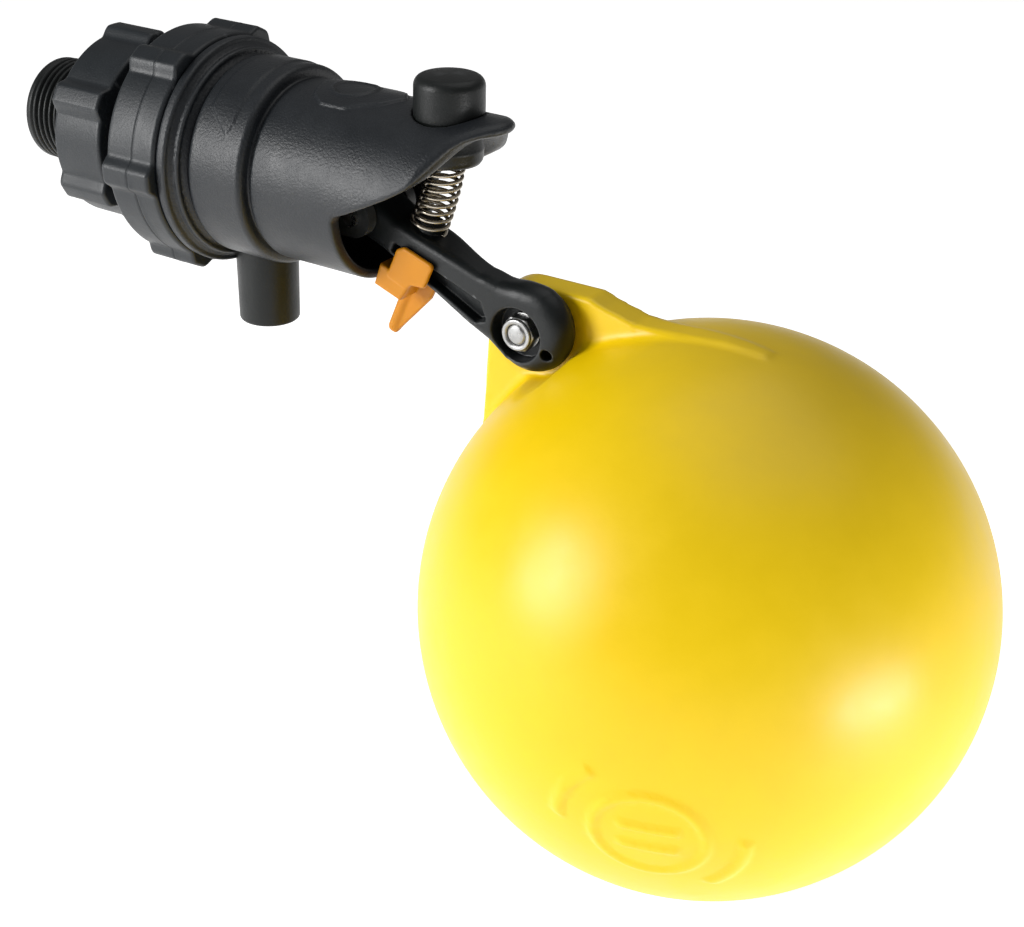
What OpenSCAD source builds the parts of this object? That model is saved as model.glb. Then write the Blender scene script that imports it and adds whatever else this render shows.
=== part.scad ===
// Servo float valve with a threaded tank inlet, a pivoting arm and a hollow ball float.
// Origin: centre of the inlet's free end. +X runs along the valve, +Z is up.
// The arm is drawn hanging open, which is the pose that an empty tank gives it.

/* [Inlet] */
// Outside diameter of the inlet thread (3/4 inch pipe thread)
thread_d = 26.44; // [26.2:0.02:26.6]
// Distance from one thread crest to the next
thread_pitch = 1.814; // [1.7:0.002:1.9]
// Diameter of the water way through the inlet
inlet_bore_d = 17; // [14:0.5:18]
// Thickness of the rubber washer that seals on the tank wall
gasket_t = 2.5; // [1.5:0.1:3]

/* [Nuts] */
// Radius of the backnut between its lobes
backnut_r = 23; // [22:0.1:24]
// Radius of the union nut between its lobes
union_r = 28.4; // [28:0.1:29]
// How far a grip lobe stands out from its nut
lobe_h = 2.1; // [1:0.1:3]

/* [Body] */
// Outside radius of the main barrel
barrel_r = 21.95; // [21.8:0.05:22.2]
// Outside radius of the band behind the flange
band_r = 24.3; // [24:0.1:25]
// Radius of the flange that the union nut draws up to
flange_r = 27.8; // [27:0.1:28.2]
// Radius of the open mouth's hollow
mouth_r = 18.5; // [18:0.1:18.8]

/* [Outlet] */
// Outside diameter of the outlet pipe
outlet_d = 15.4; // [14.8:0.1:15.8]
// Wall of the outlet pipe
outlet_wall = 1.8; // [1.4:0.1:2.2]
// Height of the outlet pipe's lower end
outlet_end_z = -42.6; // [-50:0.1:-38]

/* [Arm] */
// Angle at which the open arm hangs below the valve's axis
arm_drop = 22.2; // [21:0.1:23]
// Lift that brings the arm from open to shut
arm_lift = 26; // [24:1:27]
// Width of the arm
arm_w = 12; // [11:0.1:12.2]
// Radius of the round end that holds the float
arm_end_r = 9.8; // [9.6:0.1:10]

/* [Flush button] */
// Diameter of the flush button
button_d = 16.5; // [16:0.1:16.6]
// Height of the button's top
button_top_z = 29.8; // [29:0.1:31]
// Wire diameter of the button spring
spring_wire = 0.76; // [0.6:0.02:0.8]

/* [Float] */
// Diameter of the ball float
float_d = 136.8; // [136:0.1:137.4]
// Wall of the moulded float
float_wall = 1.9; // [1.5:0.1:2.5]
// Thickness of the tab that the arm bolts to
tab_t = 8.4; // [7.5:0.1:9]

/* [Hidden] */
$fn = 96;

// Stations along the valve
backnut_x0 = 20.5;
backnut_x1 = 36;
gasket_x0 = backnut_x1 + 0.4;
union_x0 = 43.5;
union_x1 = 58.5;
stem_flange_x0 = 46.6;
body_x0 = 50;
spigot_x1 = 54.5;
flange_x0 = 59.3;
outlet_x = 68.6;
sleeve_x1 = 78.7;
insert_x0 = 79.4;
pin_head_r = 1.25;
plate_x0 = 80;
plate_x1 = 84;
mouth_x = 106.5;

// Radii shared by mating pieces
thread_r = thread_d / 2;
thread_root_r = thread_r - 1.16;
shank_r = 13;
nut_bore_r = 13.1;
stem_bore_r = inlet_bore_d / 2;
strainer_x0 = 12;
strainer_r = 7.8;
strainer_rim = 2.4;
chamber_r = 20.2;
spigot_r = 19.9;
sleeve_ro = 20.1;
sleeve_ri = 18;
seat_tube_ro = 9.95;
seat_tube_ri = 7.5;
seat_x = 76.6;
body_thread_r = 24.6;
union_bore_r = 24.95;

// Arm pivot, and the pilot jet that the arm shuts
pivot = [103, 0, -6];
pin_r = 2;
arm_bore_r = 2.06;
lug_gap = 12.8;
lug_t = 3;
jet_z = 3.5;
jet_tip_x = 90.4;
jet_gap = 0.15;
seal_t = 2;

// Places along the arm, measured from the pivot: u along it, w across it
end_u = 49.6;
lap_y = 2.2;
bolt_u = 48.3;
bolt_w = -2.1;
bolt_r = 2.5;
nut_pocket_r = 6.6;
nut_pocket_depth = 4.6;

// Flush button and its spring
button_x = 124.1;
button_base_z = 9.5;
button_hollow_r = 5.3;
button_roof_z = 24.6;
button_hole_r = 8.35;
spring_r = 4.27;
spring_turns = 14;
spring_top_z = 19;
spring_foot = [118.6, -7.6];

// Float: centre of the ball, and the tab that rises from it
float_r = float_d / 2;
float_c = [194.6, 6.6, -88.2];
tab_y0 = lap_y + 0.25;
tab_y1 = tab_y0 + tab_t;
bolt_x = pivot[0] + bolt_u * cos(arm_drop) + bolt_w * sin(arm_drop);
bolt_z = pivot[2] - bolt_u * sin(arm_drop) + bolt_w * cos(arm_drop);

// ---- helpers ----

// A solid of revolution about the X axis, from [x, radius] points
module turned(points) {
    rotate([90, 0, 90])
        rotate_extrude()
            polygon([for (p = points) [p[1], p[0]]]);
}

module x_rod(x0, x1, r) {
    translate([x0, 0, 0])
        rotate([0, 90, 0])
            cylinder(h = x1 - x0, r = r);
}

module x_tube(x0, x1, ro, ri) {
    difference() {
        x_rod(x0, x1, ro);
        x_rod(x0 - 1, x1 + 1, ri);
    }
}

module y_rod(x, z, y0, y1, r) {
    translate([x, y0, z])
        rotate([-90, 0, 0])
            cylinder(h = y1 - y0, r = r);
}

// A plate in the XZ plane, from y0 to y1
module side_plate(y0, y1) {
    translate([0, y1, 0])
        rotate([90, 0, 0])
            linear_extrude(y1 - y0)
                children();
}

// The arm's own frame: u along the arm from the pivot, w across it
module on_arm() {
    translate(pivot)
        rotate([0, arm_drop, 0])
            children();
}

// Grip lobes round a nut
module lobes(x0, x1, r, first_angle) {
    lobe_r = 5;
    for (k = [0:5])
        rotate([first_angle + 60 * k, 0, 0])
            translate([0, r + lobe_h - lobe_r, 0])
                x_rod(x0, x1, lobe_r);
}

// Points along an arc, in degrees
function arc(c, r, a0, a1, n) = [for (i = [0:n]) let (a = a0 + (a1 - a0) * i / n) c + r * [cos(a), sin(a)]];

// ---- inlet ----

module inlet_stem() {
    crest_w = 0.3;
    land = 1.5;
    crests = 10;
    head_r = 23.4;
    groove_r = 17.6;
    // one ring for each crest, from the free end inwards
    crest_rings = [
        for (k = [0:crests - 1])
            let (x = land + k * thread_pitch)
            each [
                [x, thread_root_r], [x + 0.6, thread_r], [x + 0.6 + crest_w, thread_r],
                [x + 1.2 + crest_w, thread_root_r]
            ]
    ];
    shank_x0 = land + crests * thread_pitch - 0.2;
    color("#2b2d2e")
        difference() {
            turned(concat(
                [[0, 0], [0, thread_root_r - 0.5], [0.6, thread_root_r]],
                crest_rings,
                [
                    [shank_x0, thread_root_r], [shank_x0 + 0.5, shank_r], [stem_flange_x0, shank_r],
                    [stem_flange_x0, head_r], [body_x0, head_r], [body_x0, spigot_r],
                    [spigot_x1, spigot_r], [spigot_x1, 0]
                ]
            ));
            x_rod(-1, strainer_x0, stem_bore_r);
            // step that the strainer's rim rests on
            x_rod(strainer_x0 - 1, strainer_x0 + strainer_rim, strainer_r + 0.1);
            x_rod(strainer_x0, spigot_x1 + 1, 7.2);
            // socket for the seat tube
            x_rod(44, spigot_x1 + 1, seat_tube_ro);
            // ring groove round the spigot
            x_tube(51, 53.6, spigot_r + 1, groove_r);
        }
}

module inlet_strainer() {
    cage_ro = 6.6;
    cage_ri = 5.5;
    cage_x1 = 34;
    slot_w = 1.4;
    color("#3a3c3e")
        difference() {
            union() {
                x_rod(strainer_x0 + 0.2, strainer_x0 + strainer_rim - 0.1, strainer_r);
                x_rod(strainer_x0 + 0.2, cage_x1, cage_ro);
            }
            x_rod(strainer_x0 - 1, cage_x1 - 1.5, cage_ri);
            // slots that let the water through
            for (k = [0:5])
                rotate([30 * k, 0, 0])
                    translate([strainer_x0 + 5, -slot_w / 2, -10])
                        cube([14, slot_w, 20]);
        }
}

module stem_oring() {
    ring_r = 1.25;
    color("#1c1c1c")
        translate([52.3, 0, 0])
            rotate([0, 90, 0])
                rotate_extrude()
                    translate([17.6 + ring_r, 0])
                        circle(r = ring_r, $fn = 32);
}

module backnut() {
    color("#303234")
        difference() {
            union() {
                turned([
                    [backnut_x0, 0], [backnut_x0, backnut_r - 0.8], [backnut_x0 + 0.8, backnut_r],
                    [backnut_x1 - 0.8, backnut_r + 0.4], [backnut_x1, backnut_r - 0.4], [backnut_x1, 0]
                ]);
                lobes(backnut_x0 + 0.6, backnut_x1 - 0.3, backnut_r, 29);
            }
            x_rod(backnut_x0 - 1, backnut_x1 + 1, nut_bore_r);
        }
}

module wall_gasket() {
    color("#1d1d1d")
        x_tube(gasket_x0, gasket_x0 + gasket_t, 19.5, shank_r + 0.2);
}

module union_nut() {
    lip_x1 = stem_flange_x0 - 0.1;
    color("#303234")
        difference() {
            union() {
                turned([
                    [union_x0, 0], [union_x0, union_r - 1.4], [union_x0 + 1.4, union_r],
                    [union_x1 - 0.8, union_r], [union_x1, union_r - 0.8], [union_x1, 0]
                ]);
                lobes(union_x0 + 0.8, union_x1 - 0.3, union_r, 2);
            }
            x_rod(union_x0 - 1, union_x1 + 1, shank_r + 0.4);
            x_rod(lip_x1, union_x1 + 1, union_bore_r);
        }
}

// ---- body ----

// Side view of the body, cut away below the tongue
module tongue_profile() {
    polygon([
        [40, -40], [mouth_x, -40], [mouth_x, -3.2], [107.2, -1.8], [111, -0.1], [116, 2.4], [121, 5],
        [125, 7.4], [128, 9.7], [130, 11.8], [131.7, 14.2], [133, 16.6], [134.6, 18.7], [136.4, 20.2],
        [138.4, 21.2], [142, 22], [142, 40], [40, 40]
    ]);
}

// Top view of the body, with the tongue's round tip
module tip_profile() {
    tip_r = 8;
    tip_x = 130.5;
    tangent = 35;
    base_x = 126;
    base_y = 20.5;
    polygon(concat(
        [[40, -40], [base_x, -40], [base_x, -base_y]],
        arc([tip_x, 0], tip_r, -tangent, tangent, 14),
        [[base_x, base_y], [base_x, 40], [40, 40]]
    ));
}

module valve_body() {
    hollow_drop = 1.8;
    barrel_drop = 0.5;
    groove_r = 21.1;
    color("#2a2c2d")
        difference() {
            intersection() {
                union() {
                    turned([
                        [body_x0, 0], [body_x0, body_thread_r - 0.8], [body_x0 + 0.8, body_thread_r],
                        [flange_x0 - 0.7, body_thread_r], [flange_x0 - 0.6, flange_r - 0.5],
                        [flange_x0, flange_r], [61, flange_r], [62.1, 26.7], [64.2, 24.1],
                        [64.8, 23.7], [65.4, band_r], [79.6, band_r], [81.2, 23.7], [82.4, 22.4],
                        [83, groove_r], [84.5, groove_r], [84.5, 0]
                    ]);
                    translate([0, 0, -barrel_drop])
                        x_rod(84.2, 142, barrel_r);
                }
                side_plate(-40, 40)
                    tongue_profile();
                translate([0, 0, -60])
                    linear_extrude(120)
                        tip_profile();
            }
            // pressure chamber, from the inlet side
            x_rod(body_x0 - 1, plate_x1, chamber_r);
            // open mouth, set a little low
            translate([0, 0, -hollow_drop])
                x_rod(plate_x1 - 1, 150, mouth_r);
            // socket for the outlet pipe
            translate([outlet_x, 0, -30])
                cylinder(h = 15, r = outlet_d / 2 + 0.35);
            // guide hole for the flush button
            translate([button_x, 0, 5])
                cylinder(h = 30, r = button_hole_r);
        }
}

// ---- pressure side internals ----

module seat_tube() {
    color("#d8d6cc")
        difference() {
            turned([
                [44.1, 0], [44.1, seat_tube_ro - 0.05], [75, seat_tube_ro - 0.05], [seat_x, 8.9], [seat_x, 0]
            ]);
            x_rod(43, seat_x + 1, seat_tube_ri);
        }
}

module spacer_sleeve() {
    color("#35373a")
        difference() {
            x_tube(spigot_x1 + 0.1, sleeve_x1, sleeve_ro, sleeve_ri);
            translate([outlet_x, 0, -25])
                cylinder(h = 15, r = 6);
        }
}

module diaphragm() {
    web_x0 = 78.2;
    bead_r = 18.2;
    color("#262626")
        difference() {
            union() {
                x_rod(web_x0, insert_x0, 17.8);
                x_tube(sleeve_x1 + 0.05, insert_x0, bead_r, 17);
                x_tube(sleeve_x1 + 0.05, plate_x0 - 0.05, sleeve_ro, bead_r - 0.4);
            }
            x_rod(web_x0 - 1, plate_x0, 1.3);
        }
}

module diaphragm_insert() {
    color("#c9c7bd")
        difference() {
            union() {
                x_rod(insert_x0, insert_x0 + 1, 12);
                x_rod(insert_x0, insert_x0 + 2, 4);
            }
            x_rod(78, 83, 1.1);
        }
}

module metering_pin() {
    color("#c5c8cc")
        union() {
            x_rod(73, 83, 0.9);
            x_rod(82.6, 83.6, pin_head_r);
        }
}

module pilot_plate() {
    recess_r = 15;
    lug_y = lug_gap / 2;
    lug_h = 10;
    color("#3b3d40")
        difference() {
            union() {
                x_rod(plate_x0, plate_x1 - 0.05, sleeve_ro);
                for (side = [-1, 1])
                    translate([0, side * (lug_y + lug_t / 2), 0])
                        side_plate(-lug_t / 2, lug_t / 2) {
                            translate([pivot[0], pivot[2]])
                                circle(r = lug_h / 2);
                            translate([plate_x1 - 1, pivot[2] - lug_h / 2])
                                square([pivot[0] - plate_x1 + 1, lug_h]);
                        }
            }
            // control chamber behind the diaphragm
            x_rod(plate_x0 - 1, 82.6, recess_r);
            // seat for the head of the metering pin
            x_rod(82, 83.6, pin_head_r);
            // jet hole
            translate([0, 0, jet_z])
                x_rod(82, plate_x1 + 1, 2.2);
            y_rod(pivot[0], pivot[2], -15, 15, pin_r);
        }
}

module pilot_jet() {
    color("#b58c3e")
        translate([0, 0, jet_z])
            difference() {
                turned([
                    [82.6, 0], [82.6, 2.2], [plate_x1, 2.2], [plate_x1, 2.8], [86, 2.8],
                    [jet_tip_x, 1.5], [jet_tip_x, 0]
                ]);
                x_rod(82, jet_tip_x + 1, 0.6);
            }
}

module outlet_pipe() {
    outlet_r = outlet_d / 2;
    plain_z = -30;
    color("#2a2c2d")
        difference() {
            translate([outlet_x, 0, 0])
                rotate_extrude()
                    polygon(concat(
                        [[0, -20.3], [outlet_r + 0.3, -20.3], [outlet_r + 0.3, -26], [outlet_r, plain_z]],
                        arc([outlet_r - 1, outlet_end_z + 1], 1, 0, -90, 6),
                        [[0, outlet_end_z]]
                    ));
            translate([outlet_x, 0, outlet_end_z - 1])
                cylinder(h = 40, r = outlet_r - outlet_wall);
        }
}

// ---- arm ----

// Outline of the arm from the pivot to its round end
module arm_outline() {
    circle(r = 4.8);
    translate([end_u, 0])
        circle(r = arm_end_r);
    polygon([
        [0, -4.7], [8, -4.6], [25, -6], [37, -7.5], [42, -8.3], [48, -9.6], [50, 9.7], [44, 8.2],
        [39, 6.2], [34, 5.1], [25, 4.4], [8, 3.7], [0, 4.7]
    ]);
}

// Hollow in each side of the arm, with round ends
module arm_groove() {
    groove_h = 3.8;
    hull() {
        translate([15, -1.9])
            circle(d = groove_h - 1, $fn = 32);
        translate([37.5, -2.2])
            circle(d = groove_h, $fn = 32);
    }
}

module arm() {
    web_t = 5;
    peg_r = 3.2;
    nose_x = jet_tip_x + jet_gap + seal_t - pivot[0];
    nose_t = 2.5;
    color("#2d2f31")
        difference() {
            union() {
                on_arm() {
                    side_plate(-arm_w / 2, arm_w / 2)
                        arm_outline();
                    // peg that centres the foot of the button spring
                    translate([15.3, 0, 3])
                        cylinder(h = 3.4, r = peg_r);
                }
                // nose that carries the seal, drawn shut and swung open with the arm
                translate(pivot)
                    rotate([0, arm_lift, 0])
                        side_plate(-4, 4)
                            polygon([
                                [-4.7, 0], [nose_x + 1, 5.5], [nose_x, 6], [nose_x, 13],
                                [nose_x + nose_t, 13], [nose_x + nose_t + 1.5, 9], [4.5, 2], [0, -4]
                            ]);
            }
            y_rod(pivot[0], pivot[2], -20, 20, arm_bore_r);
            on_arm() {
                // side grooves leave a web in the middle
                side_plate(-arm_w, -web_t / 2)
                    arm_groove();
                side_plate(web_t / 2, arm_w)
                    arm_groove();
                // lap that the float's tab lies in
                side_plate(lap_y, arm_w)
                    translate([bolt_u, bolt_w])
                        circle(r = 15.6);
                // bolt hole, nut pocket and index hole
                y_rod(bolt_u, bolt_w, -arm_w, arm_w, bolt_r + 0.05);
                y_rod(bolt_u, bolt_w, -arm_w, nut_pocket_depth - arm_w / 2, nut_pocket_r);
                y_rod(57.5, -1.6, -arm_w, arm_w, 1.3);
            }
        }
}

module pivot_pin() {
    color("#c5c8cc")
        union() {
            y_rod(pivot[0], pivot[2], -10.4, 9.4, pin_r);
            y_rod(pivot[0], pivot[2], 9.4, 10.4, 3);
        }
}

module pilot_seal() {
    face_x = jet_tip_x + jet_gap - pivot[0];
    color("#8a2f22")
        translate(pivot)
            rotate([0, arm_lift, 0])
                translate([0, 0, jet_z - pivot[2]])
                    x_rod(face_x, face_x + seal_t, 3);
}

// ---- flush button ----

module flush_button() {
    button_r = button_d / 2;
    shoulder_z = 20;
    edge_r = 2;
    color("#2f3133")
        difference() {
            translate([button_x, 0, 0])
                rotate_extrude()
                    polygon(concat(
                        [
                            [0, button_base_z], [7, button_base_z], [8, button_base_z + 1], [8, 12],
                            [8.8, 12.4], [8.8, 13.2], [8, 13.6], [8, shoulder_z - 0.3],
                            [button_r, shoulder_z]
                        ],
                        arc([button_r - edge_r, button_top_z - edge_r], edge_r, 0, 90, 8),
                        [[0, button_top_z]]
                    ));
            translate([button_x, 0, button_base_z - 1])
                cylinder(h = button_roof_z - button_base_z + 1, r = button_hollow_r);
        }
}

module button_spring() {
    steps = 16;
    sides = 6;
    wire_r = spring_wire / 2;
    n = spring_turns * steps;
    height = spring_top_z - spring_foot[1] - spring_wire;
    // the spring leans on the arm at its foot and stands upright at its top
    path = [
        for (i = [0:n])
            let (t = i / n, a = 360 * i / steps)
            [
                button_x - (button_x - spring_foot[0]) * pow(1 - t, 2) + spring_r * cos(a),
                spring_r * sin(a),
                spring_foot[1] + wire_r + height * t + (1 - t) * -0.38 * spring_r * cos(a)
            ]
    ];
    points = [
        for (i = [0:n])
            let (a = 360 * i / steps)
            for (j = [0:sides - 1])
                let (b = 360 * j / sides)
                path[i] + wire_r * [cos(b) * cos(a), cos(b) * sin(a), sin(b)]
    ];
    walls = [
        for (i = [0:n - 1])
            for (j = [0:sides - 1])
                let (j2 = (j + 1) % sides)
                each [
                    [i * sides + j, (i + 1) * sides + j, (i + 1) * sides + j2],
                    [i * sides + j, (i + 1) * sides + j2, i * sides + j2]
                ]
    ];
    first_cap = [for (j = [0:sides - 1]) j];
    last_cap = [for (j = [sides - 1:-1:0]) n * sides + j];
    color("#b9b7ab")
        polyhedron(points = points, faces = concat(walls, [first_cap, last_cap]));
}

// ---- lock clip ----

module lock_clip() {
    clip_gap = arm_w + 0.6;
    clip_t = 1.4;
    outer = clip_gap / 2 + clip_t;
    fin_t = 2;
    bar_r = 1.5;
    plate = [[12.8, -9], [12.8, -1], [14.4, 0.6], [23.5, 1], [23.4, -5.6], [19.5, -7.2], [19, -9]];
    block = [[10, -7.2], [19.5, -7.2], [18.4, -12.8], [10.4, -13.2]];
    fin = [[15, -12], [15.4, -26], [17.7, -26.3], [24.4, -10.6], [23.8, -7.4], [16, -7.4]];
    color("#f0a03c")
        on_arm() {
            for (side = [-1, 1])
                translate([0, side * (outer - clip_t / 2), 0])
                    side_plate(-clip_t / 2, clip_t / 2)
                        polygon(plate);
            side_plate(0.2 - outer, outer - 0.2)
                polygon(block);
            side_plate(-fin_t / 2, fin_t / 2)
                polygon(fin);
            // thick round edge on the fin, to pull on
            translate([16, 0, -25.8])
                cylinder(h = 14, r = bar_r);
        }
}

// ---- float ----

// Outline of the tab: a square corner over the ball, rounded round the bolt
module tab_outline() {
    corner_r = 10.5;
    corner = [bolt_x - 2.2, bolt_z - 1];
    left_x = corner[0] - corner_r;
    polygon(concat(
        [[left_x - 1.6, -60], [left_x, corner[1]]],
        arc(corner, corner_r, 180, 90, 12),
        [[161, corner[1] + corner_r + 0.3], [172.5, -20], [185, -21.5], [194, -60]]
    ));
}

module float() {
    color("#f2c81a")
        difference() {
            union() {
                translate(float_c)
                    sphere(r = float_r);
                side_plate(tab_y0, tab_y1)
                    tab_outline();
            }
            difference() {
                translate(float_c)
                    sphere(r = float_r - float_wall);
                y_rod(bolt_x, bolt_z, -40, 60, 16);
            }
            y_rod(bolt_x, bolt_z, -40, 40, bolt_r + 0.1);
            // dish that clears the arm's boss
            y_rod(bolt_x, bolt_z, -40, tab_y0, 12.8);
        }
}

module float_bolt() {
    head_y = tab_y1 + 1;
    color("#c9ccd0")
        union() {
            y_rod(bolt_x, bolt_z, -5.6, head_y, bolt_r);
            translate([bolt_x, head_y, bolt_z])
                rotate([-90, 0, 0])
                    difference() {
                        cylinder(h = 3.4, r = 4.6);
                        translate([0, 0, 1.4])
                            cylinder(h = 3, r = 2.3, $fn = 6);
                    }
        }
}

module bolt_washers() {
    washer_r = 5;
    pocket_y = nut_pocket_depth - arm_w / 2;
    color("#c9ccd0") {
        difference() {
            y_rod(bolt_x, bolt_z, tab_y1, tab_y1 + 1, washer_r);
            y_rod(bolt_x, bolt_z, tab_y1 - 1, tab_y1 + 2, bolt_r);
        }
        difference() {
            y_rod(bolt_x, bolt_z, pocket_y - 0.8, pocket_y, washer_r);
            y_rod(bolt_x, bolt_z, pocket_y - 2, pocket_y + 1, bolt_r);
        }
    }
}

module float_nut() {
    across_flats = 8;
    nut_y = nut_pocket_depth - arm_w / 2 - 0.8;
    color("#d2d4d6")
        difference() {
            translate([bolt_x, nut_y, bolt_z])
                rotate([90, 0, 0]) {
                    cylinder(h = 2.8, r = across_flats / 2 / cos(30), $fn = 6);
                    cylinder(h = 3.5, r = 3.6);
                }
            y_rod(bolt_x, bolt_z, nut_y - 5, nut_y + 1, bolt_r);
        }
}

inlet_stem();
inlet_strainer();
stem_oring();
backnut();
wall_gasket();
union_nut();
valve_body();
seat_tube();
spacer_sleeve();
diaphragm();
diaphragm_insert();
metering_pin();
pilot_plate();
pilot_jet();
outlet_pipe();
arm();
pivot_pin();
pilot_seal();
flush_button();
button_spring();
lock_clip();
float();
float_bolt();
bolt_washers();
float_nut();
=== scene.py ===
import math

import bmesh
import bpy
import numpy as np
from mathutils import Matrix, Vector

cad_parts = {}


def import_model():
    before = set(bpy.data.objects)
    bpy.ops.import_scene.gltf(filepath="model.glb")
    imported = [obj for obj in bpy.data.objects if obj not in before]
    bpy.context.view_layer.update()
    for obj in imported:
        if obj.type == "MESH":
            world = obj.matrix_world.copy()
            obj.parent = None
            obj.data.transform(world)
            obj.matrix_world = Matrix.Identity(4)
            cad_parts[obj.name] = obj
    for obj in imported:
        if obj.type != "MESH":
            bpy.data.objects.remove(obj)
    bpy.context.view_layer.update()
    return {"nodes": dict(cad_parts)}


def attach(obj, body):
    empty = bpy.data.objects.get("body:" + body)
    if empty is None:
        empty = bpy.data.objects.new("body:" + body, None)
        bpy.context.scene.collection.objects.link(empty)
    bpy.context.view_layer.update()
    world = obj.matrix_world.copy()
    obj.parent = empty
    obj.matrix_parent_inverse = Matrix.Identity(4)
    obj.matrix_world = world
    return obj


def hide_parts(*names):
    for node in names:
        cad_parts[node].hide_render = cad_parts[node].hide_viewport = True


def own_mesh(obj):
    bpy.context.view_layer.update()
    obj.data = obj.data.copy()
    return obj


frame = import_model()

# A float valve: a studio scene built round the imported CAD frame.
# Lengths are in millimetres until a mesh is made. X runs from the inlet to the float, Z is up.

MM = 0.001

# ---- driving dimensions, in millimetres ----

# inlet and nuts
THREAD_X0, THREAD_X1 = 1.2, 37.0
THREAD_R = 13.22
THREAD_DEPTH = 1.16
THREAD_PITCH = 1.814
PLAIN_R, SHANK_R = 13.1, 12.75
LOBES = 6

# body
BAND_R = 24.3
BARREL_R = 21.95
BARREL_DROP = 0.5
HOLLOW_R = 18.5
HOLLOW_DROP = 1.8
HOLLOW_X0 = 83
CHAMBER_R = 20.2
CHAMBER_X1 = 84
MOUTH_X = 106.5
BUTTON_X = 124.1
BUTTON_HOLE_R = 8.4
OUTLET_X = 68.6
OUTLET_R = 7.7

# arm: U runs along it from the pivot and W across it
PIVOT = (103.0, 0.0, -6.0)
ARM_DROP = math.radians(22.2)
ARM_LIFT = math.radians(26)
ARM_HALF = 6.0
ARM_GROWTH = 0.45  # how far its outline stands outside the one drawn
END_U = 49.6
END_R = 9.8
PIN_HOLE_R = 2.06
SPRING_U = 15.3

# bolt that holds the float
BOLT_U, BOLT_W = 48.3, -2.1
BOLT_R = 2.46
BOLT_HOLE_R = 2.55
TAB_HOLE_R = 2.65
BOLT_X = PIVOT[0] + BOLT_U * math.cos(ARM_DROP) + BOLT_W * math.sin(ARM_DROP)
BOLT_Z = PIVOT[2] - BOLT_U * math.sin(ARM_DROP) + BOLT_W * math.cos(ARM_DROP)
LAP_R, LAP_Y = 15.6, 2.2
POCKET_R, POCKET_Y = 6.6, -1.4

# float
FLOAT_C = (194.6, 6.6, -88.2)
FLOAT_R = 68.4
TAB_Y0, TAB_Y1 = 2.45, 10.85
DISH_R = 12.9
MARK_HEIGHT = 0.75


# ---- distance fields: each takes arrays of places, and gives the distance to a surface, negative inside ----

def smooth_min(a, b, k):
    """Union of two fields, with a fillet about k wide."""
    h = np.clip(0.5 + 0.5 * (b - a) / k, 0, 1)
    return b + (a - b) * h - k * h * (1 - h)


def smooth_max(a, b, k):
    """Intersection of two fields, with an edge rounded over about k."""
    return -smooth_min(-a, -b, k)


def rod(x, y, z, x0, x1, r, edge=0.0):
    """Rod along X from x0 to x1, with rounded ends."""
    qx = np.abs(x - (x0 + x1) / 2) - (x1 - x0) / 2 + edge
    qr = np.hypot(y, z) - r + edge
    return np.minimum(np.maximum(qx, qr), 0) + np.hypot(np.maximum(qx, 0), np.maximum(qr, 0)) - edge


def slab(t, t0, t1):
    """Space between two planes across one axis."""
    return np.abs(t - (t0 + t1) / 2) - (t1 - t0) / 2


def outline(px, py, points):
    """Signed distance to a closed polygon in a plane."""
    pts = np.asarray(points, float)
    best = np.full(np.broadcast(px, py).shape, 1e9)
    inside = np.zeros(best.shape, bool)
    for (ax, ay), (bx, by) in zip(pts, np.roll(pts, -1, 0)):
        ex, ey = bx - ax, by - ay
        wx, wy = px - ax, py - ay
        t = np.clip((wx * ex + wy * ey) / (ex * ex + ey * ey), 0, 1)
        best = np.minimum(best, (wx - ex * t) ** 2 + (wy - ey * t) ** 2)
        crosses = (ay > py) != (by > py)
        with np.errstate(divide="ignore", invalid="ignore"):
            at = ax + (py - ay) * ex / (ey if ey else 1e-9)
        inside ^= crosses & (px < at)
    return np.where(inside, -1, 1) * np.sqrt(best)


def extruded(flat, across, half, edge):
    """Solid from a flat outline and a thickness, with its rim rounded."""
    return smooth_max(flat, np.abs(across) - half, edge)


def arm_axes(x, z):
    """Places along and across the hanging arm, measured from the pivot."""
    dx, dz = x - PIVOT[0], z - PIVOT[2]
    c, s = math.cos(ARM_DROP), math.sin(ARM_DROP)
    return c * dx - s * dz, s * dx + c * dz


# ---- meshing ----

def new_object(name, verts, faces):
    """A smooth mesh object from points in millimetres and faces of any size."""
    mesh = bpy.data.meshes.new(name)
    mesh.from_pydata((np.asarray(verts, float) * MM).tolist(), [], [tuple(map(int, f)) for f in faces])
    mesh.validate()
    mesh.update()
    mesh.polygons.foreach_set("use_smooth", [True] * len(mesh.polygons))
    obj = bpy.data.objects.new(name, mesh)
    bpy.context.scene.collection.objects.link(obj)
    return obj


def grid_object(name, verts, quads):
    """A smooth mesh object from numpy arrays of points and quads."""
    mesh = bpy.data.meshes.new(name)
    mesh.vertices.add(len(verts))
    mesh.vertices.foreach_set("co", (verts * MM).astype(np.float32).ravel())
    mesh.loops.add(quads.size)
    mesh.loops.foreach_set("vertex_index", quads.astype(np.int32).ravel())
    mesh.polygons.add(len(quads))
    mesh.polygons.foreach_set("loop_start", np.arange(0, quads.size, 4, dtype=np.int32))
    mesh.update(calc_edges=True)
    mesh.polygons.foreach_set("use_smooth", np.ones(len(quads), bool))
    mesh.validate()
    obj = bpy.data.objects.new(name, mesh)
    bpy.context.scene.collection.objects.link(obj)
    return obj


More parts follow.
